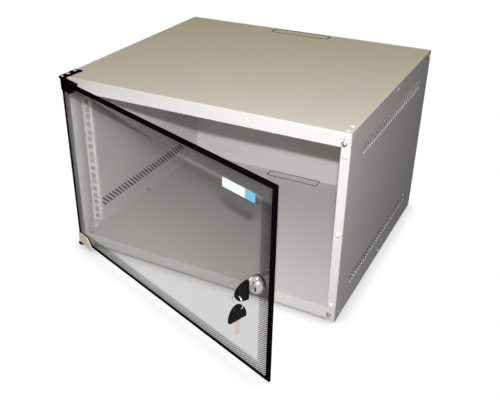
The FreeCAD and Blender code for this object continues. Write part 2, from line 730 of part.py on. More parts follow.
def top_clamp():
    """U shaped shoe over the corner of the glass, rounded about the pivot."""
    right = HINGE_X + CLAMP_LONG + 1
    left = HINGE_X - CLAMP_ROUND
    low = TOP_CLAMP_TOP - CLAMP_HEIGHT - 1
    front, rear = HINGE_Y - CLAMP_ROUND, HINGE_Y + CLAMP_ROUND
    plan = rounded_face([(left, front), (right, front), (right, rear), (left, rear)],
                        [CLAMP_ROUND - CLAMP_NOSE_FLAT, 0, 0, CLAMP_ROUND - CLAMP_NOSE_FLAT])
    body = along_z(plan, low, TOP_CLAMP_TOP + 1).common(clamp_block(0, left - 1))
    slot = GLASS / 2 + PAD
    pocket = HINGE_X + GLASS_LEFT - GLASS_END_GAP
    cuts = [
        box(pocket, right, HINGE_Y - slot, HINGE_Y + slot, low, GLASS_TOP),
        rod((HINGE_X, HINGE_Y, GLASS_TOP - 1), (0, 0, 1), PIN_D, CLAMP_WEB + 2),
    ]
    for along in SET_SCREWS_ALONG:
        start = (HINGE_X + along, HINGE_Y + slot - 0.1, TOP_CLAMP_TOP - SET_SCREW_DROP)
        cuts.append(rod(start, (0, 1, 0), SET_SCREW_D, CLAMP_ROUND))
    return body.cut(cuts)


def top_clamp_pads():
    """Soft pads between the shoe's cheeks and the glass."""
    body = clamp_block(PAD_INSET, HINGE_X - CLAMP_ROUND)
    pads = []
    for face in (GLASS_FACE - PAD, GLASS_REAR):
        reach = box(HINGE_X + GLASS_LEFT, HINGE_X + CLAMP_LONG, face, face + PAD,
                    TOP_CLAMP_TOP - CLAMP_HEIGHT, GLASS_TOP)
        pads.append(body.common(reach))
    return pads


def top_set_screws():
    """Socket set screws in the rear cheek, which press the pad on the glass."""
    length = CLAMP_ROUND - GLASS / 2 - PAD
    face = HINGE_Y + CLAMP_ROUND - length
    screws = []
    for along in SET_SCREWS_ALONG:
        place = (HINGE_X + along, face, TOP_CLAMP_TOP - SET_SCREW_DROP)
        body = rod((0, 0, 0), (0, 0, 1), SET_SCREW_D, length)
        socket = Part.Face(Part.makePolygon(hexagon(SET_SOCKET)))
        body = body.cut(along_z(socket, length / 2, length + 1))
        screws.append(oriented(body, place, (0, 1, 0)))
    return screws


def hexagon(across_flats):
    """Closed ring of corner points."""
    radius = across_flats / math.sqrt(3)
    return [Vector(radius, 0, 0) if i % 6 == 0 else
            Vector(radius * math.cos(i * math.pi / 3), radius * math.sin(i * math.pi / 3), 0)
            for i in range(7)]


def at_foot(shape):
    """The same piece turned over, for the bottom corner of the glass."""
    return shape.mirror(Vector(0, 0, (GLASS_TOP + GLASS_BOTTOM) / 2), Vector(0, 0, 1))


# Lock and keys, drawn closed; distances run outward from the glass

def lock_body():
    """Domed head, threaded barrel through the glass, bored and counterbored for the plug."""
    barrel_end = GASKET + GLASS_FACE - CAM_FRONT + CAM_GAP
    bore = PLUG_D / 2 + PLUG_CLEARANCE
    collar = PLUG_COLLAR_D / 2 + PLUG_CLEARANCE
    seat = LOCK_HEAD_H - PLUG_COLLAR
    steps = [
        [(LOCK_BARREL_D / 2, barrel_end)],
        [(LOCK_BARREL_D / 2, GASKET)],
        [(LOCK_HEAD_D / 2, GASKET)],
        [(LOCK_HEAD_D / 2, LOCK_HEAD_RIM)],
        [(0.5 * LOCK_HEAD_D - 1.3, 0.6 * LOCK_HEAD_H), (LOCK_HEAD_FRONT_D / 2, LOCK_HEAD_H)],
        [(collar, LOCK_HEAD_H)],
        [(collar, seat)],
        [(bore, seat)],
    ]
    return turned((bore, barrel_end), steps, (LOCK_X, GLASS_FACE, LOCK_Z), (0, -1, 0))


def lock_plug():
    """Turning core with its keyway, a collar in front and a square for the cam behind."""
    rear = GLASS_FACE - CAM_FRONT + CAM_GAP
    seat = LOCK_HEAD_H - PLUG_COLLAR
    front = LOCK_HEAD_H + PLUG_PROUD
    steps = [
        [(PLUG_D / 2, rear)],
        [(PLUG_D / 2, seat)],
        [(PLUG_COLLAR_D / 2, seat)],
        [(PLUG_COLLAR_D / 2, front)],
        [(0, front)],
    ]
    body = turned((0, rear), steps, (0, 0, 0), (0, 0, 1))
    half = CAM_SQUARE / 2
    square_end = GLASS_FACE - CAM_FRONT - CAM_THICK
    body = body.fuse(box(-half, half, -half, half, square_end, rear)).removeSplitter()
    slim = KEY_BLADE / 2 + KEY_SLOT_GAP
    tall = KEY_BLADE_HEIGHT / 2 + KEY_SLOT_GAP
    depth = KEY_HEAD_STANDOFF - KEY_BLADE_LENGTH - KEY_SLOT_GAP
    body = body.cut([
        box(-slim, slim, -tall, tall, depth, front + 1),
        rod((0, 0, square_end - 1), (0, 0, 1), SCREW_D, CAM_SCREW_SHANK + 1),
    ])
    return at_lock(body)


def at_lock(body):
    """Piece drawn with +Z out of the lock, set on the lock's axis; its X stays along the door."""
    turn = Rotation(Vector(1, 0, 0), Vector(0, 0, 1), Vector(0, -1, 0), "ZXY")
    body.Placement = Placement(Vector(LOCK_X, GLASS_FACE, LOCK_Z), turn).multiply(body.Placement)
    return body


def cam():
    """Flat latch with round ends, hanging down when unlocked."""
    radius = CAM_WIDTH / 2
    low = GLASS_FACE - CAM_FRONT - CAM_THICK
    length = (CAM_REACH - radius) / 2
    face = slot_face(length, radius)
    body = along_z(face, 0, CAM_THICK)
    body.rotate(Vector(0, 0, 0), Vector(0, 0, 1), 90)
    body.translate(Vector(0, -length, low))
    half = CAM_SQUARE / 2 + CAM_SQUARE_GAP
    return at_lock(body.cut(box(-half, half, -half, half, low - 1, low + CAM_THICK + 1)))


def cam_screw():
    rear = GLASS_FACE - CAM_FRONT - CAM_THICK
    return at_lock(pan_screw((0, 0, rear), (0, 0, -1), CAM_SCREW_SHANK - 0.5))


def key_head_outline():
    """Half oval head drawn in X and Y: flat end at the origin, blade side, round end up the Y axis."""
    half = KEY_HEAD_WIDTH / 2
    arc = Part.Ellipse(Vector(0, 0, 0), KEY_HEAD_LENGTH, half)
    turn = Rotation(Vector(0, 0, 1), 90)
    curve = Part.Arc(arc, -math.pi / 2, math.pi / 2).toShape()
    curve.Placement = Placement(Vector(0, 0, 0), turn)
    ends = [vertex.Point for vertex in curve.Vertexes]
    base = Part.LineSegment(ends[1], ends[0]).toShape()
    return Part.Face(Part.Wire([curve, base]))


def key_head():
    """Moulded head with softened rims, the hole for the ring and a slot over the blade."""
    body = key_head_outline().extrude(Vector(0, 0, KEY_HEAD_THICK))
    body = body.translated(Vector(0, 0, -KEY_HEAD_THICK / 2))
    rims = [e for e in body.Edges if abs(abs(e.CenterOfMass.z) - KEY_HEAD_THICK / 2) < 0.01]
    body = body.makeFillet(KEY_HEAD_EDGE, [e for e in rims if e.Length > KEY_HEAD_WIDTH + 1])
    hole_y = KEY_HEAD_LENGTH - KEY_HOLE_INSET
    body = body.cut(rod((0, hole_y, -KEY_HEAD_THICK), (0, 0, 1), KEY_HOLE_D, 2 * KEY_HEAD_THICK))
    return body.cut(key_blade(KEY_SLOT_GAP))


def key_blade(gap=0.0):
    """Flat blade, one edge notched, its root held in the head."""
    half = KEY_BLADE_HEIGHT / 2 + gap
    tip = -KEY_BLADE_LENGTH
    outline = [(-half, KEY_ROOT + gap), (-half, tip + KEY_TIP), (KEY_TIP - half, tip)]
    outline += [(half - KEY_TIP, tip), (half, tip + KEY_TIP)]
    if gap == 0:
        for i in range(KEY_CUTS):
            y = tip + KEY_TIP + i * KEY_CUT_PITCH
            depth = half - KEY_CUT_DEPTH
            outline += [(depth, y + 0.3 * KEY_CUT_PITCH), (depth, y + 0.7 * KEY_CUT_PITCH)]
            outline.append((half, y + KEY_CUT_PITCH))
    outline.append((half, KEY_ROOT + gap))
    face = rounded_face(outline, [0.0] * len(outline))
    low = -KEY_BLADE / 2 - gap
    return along_z(face, low, -low)


def inserted(body):
    """Key drawn along Y, set in the lock with its head upright."""
    turn = Rotation(Vector(0, 0, 1), Vector(0, -1, 0), Vector(1, 0, 0), "ZXY")
    place = Vector(LOCK_X, GLASS_FACE - KEY_HEAD_STANDOFF, LOCK_Z)
    body.Placement = Placement(place, turn).multiply(body.Placement)
    return body


def ring_top():
    """Middle of the inserted key's hole."""
    out = KEY_HEAD_STANDOFF + KEY_HEAD_LENGTH - KEY_HOLE_INSET
    return Vector(LOCK_X, GLASS_FACE - out, LOCK_Z)


def key_ring():
    """Wire ring hanging in the inserted key's hole."""
    centre = ring_top() - Vector(0, 0, RING_D / 2)
    return Part.makeTorus(RING_D / 2, RING_WIRE / 2, centre, Vector(0, 1, 0))


def hanging(body):
    """Key drawn along Y, hung blade down on the ring."""
    turn = Rotation(Vector(0, 1, 0), Vector(0, 0, 1), Vector(1, 0, 0), "ZXY")
    place = ring_top() - Vector(0, 0, RING_D + KEY_HEAD_LENGTH - KEY_HOLE_INSET)
    body.Placement = Placement(place, turn).multiply(body.Placement)
    return body


def gaskets():
    """Rings of rubber in front of and behind the glass."""
    rings = []
    for y in (GLASS_FACE - GASKET, GLASS_REAR):
        ring = rod((LOCK_X, y, LOCK_Z), (0, 1, 0), GASKET_D, GASKET)
        rings.append(ring.cut(rod((LOCK_X, y - 1, LOCK_Z), (0, 1, 0), LOCK_HOLE_D, GASKET + 2)))
    return rings


def lock_nut():
    """Hexagon nut on the barrel behind the glass."""
    body = along_z(Part.Face(Part.makePolygon(hexagon(LOCK_NUT_AF))), 0, LOCK_NUT)
    body = body.cut(rod((0, 0, -1), (0, 0, 1), LOCK_BARREL_D, LOCK_NUT + 2))
    return oriented(body, (LOCK_X, GLASS_REAR + GASKET, LOCK_Z), (0, 1, 0))


def export(name, shapes):
    """One STEP file per node; identical fasteners share a node."""
    if not isinstance(shapes, list):
        shapes = [shapes]
    for shape in shapes:
        assert shape.isValid() and len(shape.Solids) == 1, name
    solids = [shape.Solids[0] for shape in shapes]
    node = solids[0] if len(solids) == 1 else Part.makeCompound(solids)
    node.exportStep("parts/" + name + ".step")


def export_ajar(name, shapes):
    """The same for a piece of the door, turned to where the door stands."""
    if not isinstance(shapes, list):
        shapes = [shapes]
    export(name, [ajar(shape) for shape in shapes])


os.makedirs("parts", exist_ok=True)

export("top_panel", top_panel())
export("bottom_panel", bottom_panel())
export("left_side_panel", left_side_panel())
export("right_side_panel", right_side_panel())
export("back_panel", back_panel())

export("left_rail", mirrored_x(rail(LEFT_RAIL_HOLE)))
export("right_rail", rail(RIGHT_RAIL_HOLE))
export("left_lower_bracket", mirrored_x(lower_bracket(LEFT_RAIL_HOLE)))
export("left_upper_bracket", upper(mirrored_x(lower_bracket(LEFT_RAIL_HOLE))))
export("right_lower_bracket", lower_bracket(RIGHT_RAIL_HOLE))
export("right_upper_bracket", upper(lower_bracket(RIGHT_RAIL_HOLE)))
export("bracket_screws", tray_screws())
export("rail_screws", rail_screws())

export("left_side_screws", side_screws(-1))
export("right_side_screws", side_screws(1))
export("front_corner_screws", corner_screws())
export("door_bumpers", bumpers())
export("spare_hole_plugs", hole_plugs())

export("top_hinge_plate", hinge_plate(TOP))
export("bottom_hinge_plate", hinge_plate(TRAY_BOTTOM - HINGE_PLATE))
export("hinge_plate_screws", hinge_screws())
export("top_hinge_bush", hinge_bush(TOP, 1, TOP_BUSH_FLANGE))
export("bottom_hinge_bush", hinge_bush(TRAY_BOTTOM, -1, BOTTOM_BUSH_FLANGE))

export_ajar("door_glass", glass_pane())
export_ajar("top_hinge_clamp", top_clamp())
export_ajar("bottom_hinge_clamp", at_foot(top_clamp()))
export_ajar("top_clamp_pads", top_clamp_pads())
export_ajar("bottom_clamp_pads", [at_foot(pad) for pad in top_clamp_pads()])
export_ajar("clamp_set_screws", top_set_screws() + [at_foot(screw) for screw in top_set_screws()])
export_ajar("top_hinge_pin", hinge_pin(GLASS_TOP, TOP + HINGE_PLATE + PIN_PROUD))
export_ajar("bottom_hinge_pin", hinge_pin(TRAY_BOTTOM - HINGE_PLATE - PIN_PROUD, GLASS_BOTTOM))

export_ajar("lock_body", lock_body())
export_ajar("lock_gaskets", gaskets())
export_ajar("lock_nut", lock_nut())
export_ajar("lock_plug", lock_plug())
export_ajar("lock_cam", cam())
export_ajar("cam_screw", cam_screw())
export_ajar("key_blade", inserted(key_blade()))
export_ajar("key_head", inserted(key_head()))
export_ajar("key_ring", key_ring())
export_ajar("spare_key_blade", hanging(key_blade()))
export_ajar("spare_key_head", hanging(key_head()))
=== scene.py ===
import bpy
import bmesh
import json
import math
from mathutils import Matrix, Vector


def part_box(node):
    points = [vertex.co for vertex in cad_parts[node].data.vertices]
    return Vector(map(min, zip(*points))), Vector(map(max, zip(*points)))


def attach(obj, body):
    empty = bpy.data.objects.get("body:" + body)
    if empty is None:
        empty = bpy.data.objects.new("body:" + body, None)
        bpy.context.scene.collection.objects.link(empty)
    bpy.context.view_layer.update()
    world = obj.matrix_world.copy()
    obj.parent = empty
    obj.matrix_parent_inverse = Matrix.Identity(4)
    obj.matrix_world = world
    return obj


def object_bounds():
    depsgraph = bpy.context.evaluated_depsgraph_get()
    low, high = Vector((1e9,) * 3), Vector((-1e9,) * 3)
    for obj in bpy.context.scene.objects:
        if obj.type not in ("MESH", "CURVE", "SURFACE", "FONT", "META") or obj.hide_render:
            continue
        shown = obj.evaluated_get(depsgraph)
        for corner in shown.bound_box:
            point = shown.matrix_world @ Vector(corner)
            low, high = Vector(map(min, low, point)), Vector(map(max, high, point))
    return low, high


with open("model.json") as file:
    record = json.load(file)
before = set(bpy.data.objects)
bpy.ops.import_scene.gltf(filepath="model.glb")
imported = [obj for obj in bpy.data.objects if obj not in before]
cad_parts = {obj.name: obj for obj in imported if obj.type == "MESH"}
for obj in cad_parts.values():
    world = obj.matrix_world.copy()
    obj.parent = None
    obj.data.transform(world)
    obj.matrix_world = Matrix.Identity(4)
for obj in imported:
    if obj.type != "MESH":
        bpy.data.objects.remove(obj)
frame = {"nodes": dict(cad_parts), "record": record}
nodes = frame["nodes"]
cad_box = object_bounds()

# ---------------------------------------------------------------------------
# Studio. The camera looks down at the front and right of the cabinet. A small
# white lamp stands just over the lens, a broad warm one hangs overhead, and two
# soft ones fill in the back and the left side.
scene = bpy.context.scene
scene.view_settings.view_transform = "Standard"

lens = bpy.data.cameras.new("camera")
lens.lens = 49.6
lens.shift_x = 0.0492
lens.shift_y = -0.0006
lens.clip_end = 50.0
line_of_sight = Vector((-0.41544, 0.76812, -0.48723))
camera = bpy.data.objects.new("camera", lens)
camera.location = (0.54484, -1.3598, 0.5770)
camera.rotation_euler = line_of_sight.to_track_quat("-Z", "Y").to_euler()
scene.collection.objects.link(camera)
scene.camera = camera


def lamp(name, place, target, width, height, watts, colour):
    """Rectangular lamp that faces a point."""
    data = bpy.data.lights.new(name, "AREA")
    data.shape = "RECTANGLE"
    data.size = width
    data.size_y = height
    data.energy = watts
    data.color = colour
    light = bpy.data.objects.new(name, data)
    light.location = place
    aim = Vector(target) - Vector(place)
    light.rotation_euler = aim.to_track_quat("-Z", "Y").to_euler()
    light.visible_camera = False
    scene.collection.objects.link(light)


soft_white = (1.0, 0.98, 0.96)
lamp("lens_lamp", (0.538, -1.338, 0.642), (0.0, -0.35, 0.0),
     width=0.02, height=0.02, watts=19.5, colour=(1.0, 0.985, 1.0))
lamp("top_lamp", (-0.15, -0.20, 2.5), (-0.05, -0.2, 0.17),
     width=1.1, height=1.1, watts=16.5, colour=(1.0, 0.83, 0.30))
lamp("back_lamp", (0.2, 2.4, 0.3), (0.0, 0.0, 0.0),
     width=1.2, height=0.8, watts=22.0, colour=soft_white)
lamp("left_lamp", (-2.4, 0.3, 0.3), (-0.27, -0.2, 0.0),
     width=1.0, height=0.8, watts=12.0, colour=soft_white)


def feed(tree, socket, value):
    """Set a socket to a number, or link it to another node's output."""
    if isinstance(value, (int, float)):
        socket.default_value = value
    else:
        tree.links.new(value, socket)


def reckon(tree, operation, *values):
    """Math node on numbers or outputs."""
    node = tree.nodes.new("ShaderNodeMath")
    node.operation = operation
    for socket, value in zip(node.inputs, values):
        feed(tree, socket, value)
    return node.outputs[0]


def seen_rays(tree):
    """One for a ray that the lens, a mirror or the glass sends, otherwise nought."""
    rays = tree.nodes.new("ShaderNodeLightPath").outputs
    mirrored = reckon(tree, "MAXIMUM", rays["Is Camera Ray"], rays["Is Glossy Ray"])
    return reckon(tree, "MAXIMUM", mirrored, rays["Is Transmission Ray"])


def one_or_other(tree, factor, first, second):
    """Mix shader: the first where the factor is nought, the second where it is one."""
    choose = tree.nodes.new("ShaderNodeMixShader")
    tree.links.new(factor, choose.inputs[0])
    tree.links.new(first.outputs[0], choose.inputs[1])
    tree.links.new(second.outputs[0], choose.inputs[2])
    return choose.outputs[0]


# The room gives faint light and is seen white.
world = bpy.data.worlds.new("studio")
scene.world = world
world.use_nodes = True
tree = world.node_tree
tree.nodes.clear()
surround = tree.nodes.new("ShaderNodeBackground")
surround.inputs["Color"].default_value = (0.93, 0.92, 1.0, 1)
surround.inputs["Strength"].default_value = 0.02
backdrop = tree.nodes.new("ShaderNodeBackground")
backdrop.inputs["Color"].default_value = (1, 1, 1, 1)
backdrop.inputs["Strength"].default_value = 1.0
out = tree.nodes.new("ShaderNodeOutputWorld")
tree.links.new(one_or_other(tree, seen_rays(tree), surround, backdrop), out.inputs["Surface"])

# ---------------------------------------------------------------------------
# Floor. A wide plane under the side panels' lower edges. It is seen white, darker
# close round the cabinet, and gives little light back to it.
floor_z = cad_box[0].z
floor_reach = 9.0
corner_signs = ((-1, -1), (1, -1), (1, 1), (-1, 1))
floor_corners = [(floor_reach * x, floor_reach * y, floor_z) for x, y in corner_signs]
floor_mesh = bpy.data.meshes.new("floor")
floor_mesh.from_pydata(floor_corners, [], [(0, 1, 2, 3)])
floor = bpy.data.objects.new("floor", floor_mesh)
scene.collection.objects.link(floor)
white_floor = bpy.data.materials.new("white_floor")
white_floor.use_nodes = True
tree = white_floor.node_tree
matt = tree.nodes["Principled BSDF"]
matt.inputs["Base Color"].default_value = (0.12, 0.12, 0.12, 1)
matt.inputs["Roughness"].default_value = 0.9
matt.inputs["Specular IOR Level"].default_value = 0.0


def ramp(tree, value, start, end, low=0.0, high=1.0):
    """Map Range node: low at the start, high at the end, even between and level beyond."""
    node = tree.nodes.new("ShaderNodeMapRange")
    feed(tree, node.inputs["Value"], value)
    feed(tree, node.inputs["From Min"], start)
    feed(tree, node.inputs["From Max"], end)
    feed(tree, node.inputs["To Min"], low)
    feed(tree, node.inputs["To Max"], high)
    return node.outputs[0]


# The shade close round the cabinet deepens where the floor is less open to the room.
open_enough = 0.82
deepest_shade = 0.25
openness = tree.nodes.new("ShaderNodeAmbientOcclusion")
openness.samples = 16
openness.inputs["Distance"].default_value = 0.045
shade = ramp(tree, openness.outputs["AO"], 0.0, open_enough, deepest_shade, 1.0)

# Painted shadow: seen through glass, the floor under and beside the cabinet is painted dark. This stands in
# for the cabinet's shadow, which the lower vent slots show from inside. The painted shadow fades out a little
# way outside the left side and the back, and just behind the front.
left_edge, front_edge = cad_box[0].x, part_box("left_side_panel")[0].y
left_gone, left_full = 0.20, 0.12
back_gone, back_full = 0.22, 0.12
front_full = 0.06
painted_shadow_depth = 0.99
place = tree.nodes.new("ShaderNodeTexCoord")
split = tree.nodes.new("ShaderNodeSeparateXYZ")
tree.links.new(place.outputs["Object"], split.inputs[0])
painted_shadow = tree.nodes.new("ShaderNodeLightPath").outputs["Is Transmission Ray"]
for axis, gone, full in (("X", left_edge - left_gone, left_edge - left_full),
                         ("Y", front_edge, front_edge + front_full),
                         ("Y", back_gone, back_full)):
    painted_shadow = reckon(tree, "MULTIPLY", painted_shadow, ramp(tree, split.outputs[axis], gone, full))
unshadowed = reckon(tree, "MULTIPLY_ADD", painted_shadow, -painted_shadow_depth, 1.0)
glow = tree.nodes.new("ShaderNodeEmission")
glow.inputs["Color"].default_value = (1, 1, 1, 1)
tree.links.new(reckon(tree, "MULTIPLY", shade, unshadowed), glow.inputs["Strength"])
lit_floor = one_or_other(tree, seen_rays(tree), matt, glow)
tree.links.new(lit_floor, tree.nodes["Material Output"].inputs["Surface"])
floor_mesh.materials.append(white_floor)


# ---------------------------------------------------------------------------
# Side and back panels. They are cut and folded from 1.2 mm steel and powder
# coated light grey after folding, so the coat is a fine orange peel.

def node_group(name, kind, given, made):
    """Empty node group whose inputs are name, kind and value, and its outputs name and kind."""
    group = bpy.data.node_groups.new(name, kind)
    for title, sort, value in given:
        socket = group.interface.new_socket(title, in_out="INPUT", socket_type="NodeSocket" + sort)
        if value is not None:
            socket.default_value = value
    for title, sort in made:
        group.interface.new_socket(title, in_out="OUTPUT", socket_type="NodeSocket" + sort)
    return group


def surface_group():
    """Slow drift of tone and gloss over a surface, and the fine pebble of its finish."""
    group = node_group("surface_drift", "ShaderNodeTree",
                       [("Colour", "Color", (0.7, 0.7, 0.7, 1)), ("Drift", "Float", 0.04),
                        ("Roughness", "Float", 0.5), ("Pebble", "Float", 0.15)],
                       [("Colour", "Color"), ("Roughness", "Float"), ("Normal", "Vector")])
    gloss_drift = 0.12  # how far the roughness follows the drift of tone
    n, link = group.nodes, group.links.new
    given = n.new("NodeGroupInput")
    result = n.new("NodeGroupOutput")
    place = n.new("ShaderNodeTexCoord")
    clouds = n.new("ShaderNodeTexNoise")
    clouds.inputs["Scale"].default_value = 6.0
    clouds.inputs["Detail"].default_value = 3.0
    link(place.outputs["Object"], clouds.inputs["Vector"])
    centred = reckon(group, "SUBTRACT", clouds.outputs["Fac"], 0.5)
    swing = reckon(group, "MULTIPLY_ADD", centred, given.outputs["Drift"], 1.0)
    tone = n.new("ShaderNodeVectorMath")
    tone.operation = "SCALE"
    link(given.outputs["Colour"], tone.inputs[0])
    link(swing, tone.inputs["Scale"])
    link(tone.outputs[0], result.inputs["Colour"])
    uneven = reckon(group, "MULTIPLY_ADD", centred, gloss_drift, given.outputs["Roughness"])
    link(uneven, result.inputs["Roughness"])
    pebbles = n.new("ShaderNodeTexNoise")
    pebbles.inputs["Scale"].default_value = 900.0
    pebbles.inputs["Detail"].default_value = 1.0
    link(place.outputs["Object"], pebbles.inputs["Vector"])
    bump = n.new("ShaderNodeBump")
    bump.inputs["Distance"].default_value = 0.0002
    link(given.outputs["Pebble"], bump.inputs["Strength"])
    link(pebbles.outputs["Fac"], bump.inputs["Height"])
    link(bump.outputs["Normal"], result.inputs["Normal"])
    return group


surface_drift = surface_group()


def finish(name, colour, drift, roughness, pebble, gloss=0.5, metallic=0.0):
    """Material that carries the surface's drift and pebble."""
    material = bpy.data.materials.new(name)
    material.use_nodes = True
    tree = material.node_tree
    shader = tree.nodes["Principled BSDF"]
    shader.inputs["Specular IOR Level"].default_value = gloss
    shader.inputs["Metallic"].default_value = metallic
    surface = tree.nodes.new("ShaderNodeGroup")
    surface.node_tree = surface_drift
    surface.inputs["Colour"].default_value = (*colour, 1)
    surface.inputs["Drift"].default_value = drift
    surface.inputs["Roughness"].default_value = roughness
    surface.inputs["Pebble"].default_value = pebble
    tree.links.new(surface.outputs["Colour"], shader.inputs["Base Color"])
    tree.links.new(surface.outputs["Roughness"], shader.inputs["Roughness"])
    tree.links.new(surface.outputs["Normal"], shader.inputs["Normal"])
    return material


def dress(material, *names):
    """Give CAD nodes their material."""
    for name in names:
        slots = nodes[name].data.materials
        slots.clear()
        slots.append(material)


body_paint = dict(colour=(0.585, 0.572, 0.56), drift=0.06, roughness=0.55, pebble=0.25, gloss=0.003)
dress(finish("body_coat", **body_paint), "left_side_panel", "right_side_panel", "back_panel")


# ---------------------------------------------------------------------------
# Top and bottom trays, folded and coated as the other panels are. The cable knock-out at the rear of each is
# a thin slit. A near-black painted shade on both sides of the cut stands in for the shadow down the narrow
# gap.

def knockout_group():
    """Mask for the painted shade along the rounded outline of the knock-out's slit, drawn on the sheet's own
    X and Y.
    """
    group = node_group("knockout_line", "ShaderNodeTree",
                       [("Half Length", "Float", 0.063), ("Half Width", "Float", 0.01275),
                        ("Middle", "Float", -0.01735), ("Corner", "Float", 0.005),
                        ("Slit", "Float", 0.0013), ("Shade Width", "Float", 0.0006)],
                       [("Mask", "Float")])
    shade_gone_at = 1.6  # the painted shade fades out this many shade widths from the slit

    def work(operation, *values):
        return reckon(group, operation, *values)

    given = group.nodes.new("NodeGroupInput").outputs
    place = group.nodes.new("ShaderNodeTexCoord")
    split = group.nodes.new("ShaderNodeSeparateXYZ")
    group.links.new(place.outputs["Object"], split.inputs[0])
    along = work("ABSOLUTE", split.outputs["X"])
    across = work("ABSOLUTE", work("SUBTRACT", split.outputs["Y"], given["Middle"]))
    past_x = work("SUBTRACT", along, work("SUBTRACT", given["Half Length"], given["Corner"]))
    past_y = work("SUBTRACT", across, work("SUBTRACT", given["Half Width"], given["Corner"]))
    out_x, out_y = work("MAXIMUM", past_x, 0.0), work("MAXIMUM", past_y, 0.0)
    out = work("SQRT", work("ADD", work("MULTIPLY", out_x, out_x), work("MULTIPLY", out_y, out_y)))
    within = work("MINIMUM", work("MAXIMUM", past_x, past_y), 0.0)
    outline = work("SUBTRACT", work("ADD", out, within), given["Corner"])
    half_slit = work("MULTIPLY", given["Slit"], 0.5)
    off = work("ABSOLUTE", work("ADD", outline, half_slit))
    shade_end = work("ADD", half_slit, given["Shade Width"])
    coat_start = work("ADD", half_slit, work("MULTIPLY", given["Shade Width"], shade_gone_at))
    result = group.nodes.new("NodeGroupOutput")
    group.links.new(ramp(group, off, shade_end, coat_start, 1.0, 0.0), result.inputs["Mask"])
    return group


# Near-black painted shade for the knock-out slit, standing in for the shadow in the gap.
slit_shade_colour = (0.035, 0.032, 0.030, 1)
tray_coat = finish("tray_coat", **body_paint)
tree = tray_coat.node_tree
cut_line = tree.nodes.new("ShaderNodeGroup")
cut_line.node_tree = knockout_group()
slit_shaded = tree.nodes.new("ShaderNodeMix")
slit_shaded.data_type = "RGBA"
slit_shaded.inputs["B"].default_value = slit_shade_colour
shader = tree.nodes["Principled BSDF"]
tree.links.new(cut_line.outputs["Mask"], slit_shaded.inputs["Factor"])
tree.links.new(shader.inputs["Base Color"].links[0].from_socket, slit_shaded.inputs["A"])
tree.links.new(slit_shaded.outputs["Result"], shader.inputs["Base Color"])
dress(tray_coat, "top_panel", "bottom_panel")

# ---------------------------------------------------------------------------
# Rack rails and their Z brackets. Punched and folded from 1.5 mm strip, coated
# a shade lighter than the body, and bolted to the trays.
rail_coat = finish("rail_coat", (0.64, 0.63, 0.62), drift=0.04, roughness=0.50, pebble=0.2, gloss=0.05)
dress(rail_coat, "left_rail", "right_rail", "left_lower_bracket", "left_upper_bracket",
      "right_lower_bracket", "right_upper_bracket")

# ---------------------------------------------------------------------------
# Screws. Zinc plated steel, with a cross recess or a hexagon socket, and the
# slightly blotchy grey bloom that bright zinc takes on.
zinc = finish("zinc_plate", (0.36, 0.36, 0.34), drift=0.3, roughness=0.32, pebble=0.1, metallic=1.0)
dress(zinc, "bracket_screws", "rail_screws", "left_side_screws", "right_side_screws",
      "front_corner_screws", "hinge_plate_screws", "clamp_set_screws", "cam_screw")

# ---------------------------------------------------------------------------
# Door bumpers and spare hole plugs. Stuck-on domes of cream rubber on the right
# post, and pale plastic buttons pressed into the unused hinge holes.
bumper_rubber = finish("bumper_rubber", (0.70, 0.66, 0.55), drift=0.08, roughness=0.55, pebble=0.05)
dress(bumper_rubber, "door_bumpers")
plug_plastic = finish("plug_plastic", (0.68, 0.66, 0.61), drift=0.03, roughness=0.4, pebble=0.0)
dress(plug_plastic, "spare_hole_plugs")

# ---------------------------------------------------------------------------
# Hinges. Flat steel plates painted black carry black nylon bushes, and ground
# pins in the clamps turn in them. The clamps, black above and cream below, grip
# the glass between rubber pads.
hinge_black = finish("hinge_black", (0.003, 0.002, 0.002), drift=0.2, roughness=0.40, pebble=0.1, gloss=0.0)
dress(hinge_black, "top_hinge_plate", "bottom_hinge_plate", "top_hinge_clamp")
nylon = finish("bush_nylon", (0.010, 0.009, 0.009), drift=0.03, roughness=0.45, pebble=0.0, gloss=0.1)
dress(nylon, "top_hinge_bush", "bottom_hinge_bush")
pin_steel = finish("pin_steel", (0.55, 0.55, 0.56), drift=0.1, roughness=0.22, pebble=0.0, metallic=1.0)
dress(pin_steel, "top_hinge_pin", "bottom_hinge_pin")
clamp_cream = finish("clamp_cream", (0.92, 0.80, 0.60), drift=0.08, roughness=0.45, pebble=0.15, gloss=0.3)
dress(clamp_cream, "bottom_hinge_clamp")
black_rubber = finish("black_rubber", (0.015, 0.015, 0.015), drift=0.2, roughness=0.75, pebble=0.1)
dress(black_rubber, "top_clamp_pads", "bottom_clamp_pads")

# ---------------------------------------------------------------------------
# Door glass. Toughened 4 mm float glass, faintly warm in tint. Light from the
# lamps passes it, as it does the real pane.
glass = bpy.data.materials.new("door_glass")
glass.use_nodes = True
tree = glass.node_tree
pane = tree.nodes["Principled BSDF"]
pane.inputs["Base Color"].default_value = (0.655, 0.64, 0.63, 1)
pane.inputs["Roughness"].default_value = 0.02
pane.inputs["Transmission Weight"].default_value = 1.0
pane.inputs["IOR"].default_value = 1.2
through = tree.nodes.new("ShaderNodeBsdfTransparent")
through.inputs["Color"].default_value = (0.73, 0.74, 0.74, 1)
lamp_rays = tree.nodes.new("ShaderNodeLightPath").outputs["Is Shadow Ray"]
lit_glass = one_or_other(tree, lamp_rays, pane, through)
tree.links.new(lit_glass, tree.nodes["Material Output"].inputs["Surface"])
dress(glass, "door_glass")

